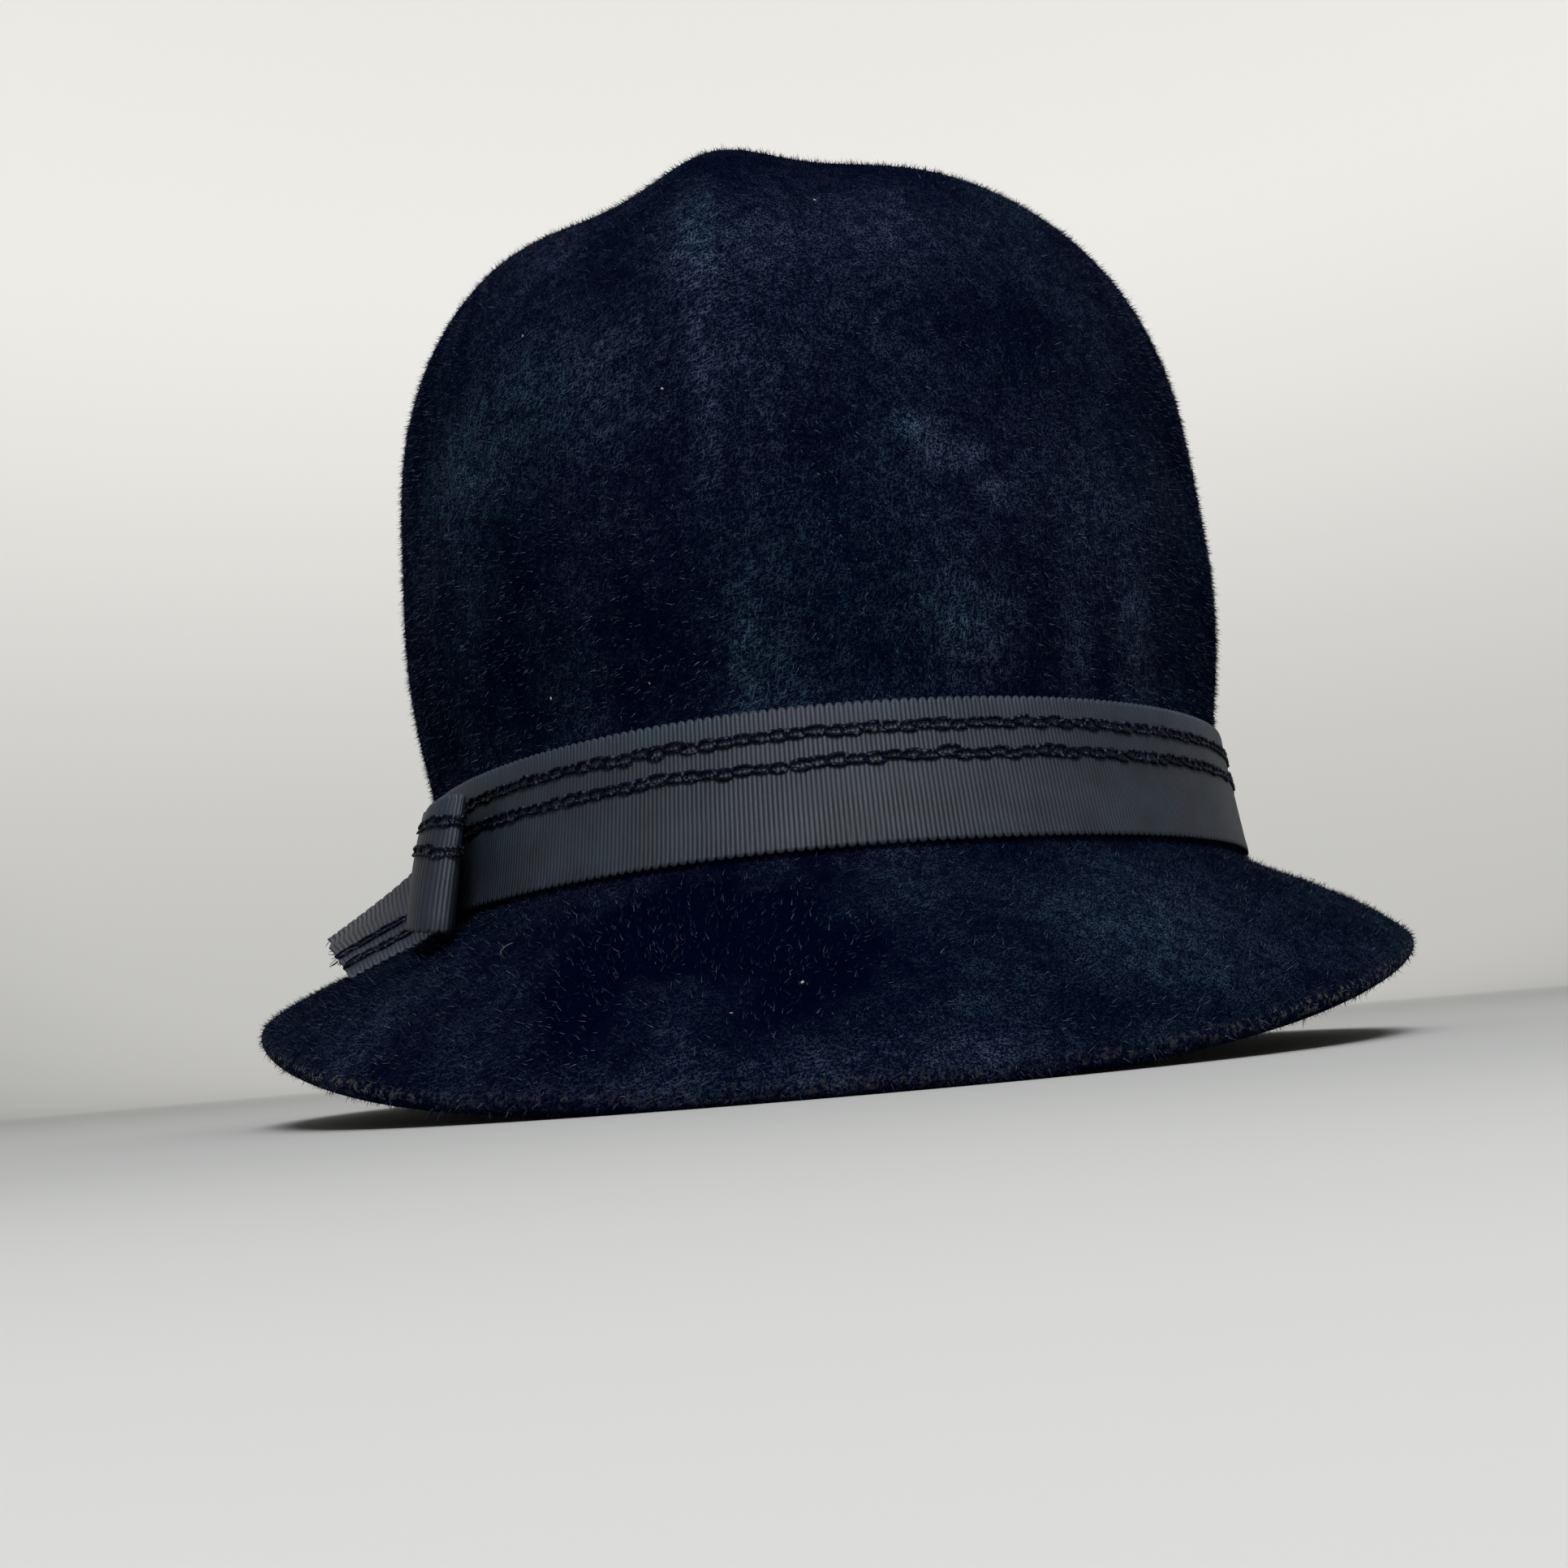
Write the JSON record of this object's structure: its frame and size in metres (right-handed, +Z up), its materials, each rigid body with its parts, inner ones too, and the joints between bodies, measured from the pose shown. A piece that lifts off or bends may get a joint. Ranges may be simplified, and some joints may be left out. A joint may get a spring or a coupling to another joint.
{
  "type": "velour felt cloche hat",
  "caption": "Deep blocked felt hat with a short down-turned brim, a ribbed ribbon band with chain stitching and a small ribbon bow at one side.",
  "frame": {"origin": "middle of the surface that the hat rests on, below the middle of the brim", "axes": "+Z up through the crown, -Y towards the hat's front, -X towards the side with the bow"},
  "size_m": [0.2205, 0.2692, 0.1783],
  "materials": {
    "velour_felt": "short brushed velour nap, matt with a soft sheen",
    "ribbed_ribbon": "ribbed grosgrain, slight sheen, black chain stitching"
  },
  "bodies": {
    "root": {"felt_body": "velour_felt", "ribbon_band": "ribbed_ribbon", "bow_loop": "ribbed_ribbon", "bow_tail": "ribbed_ribbon"}
  },
  "joints": []
}
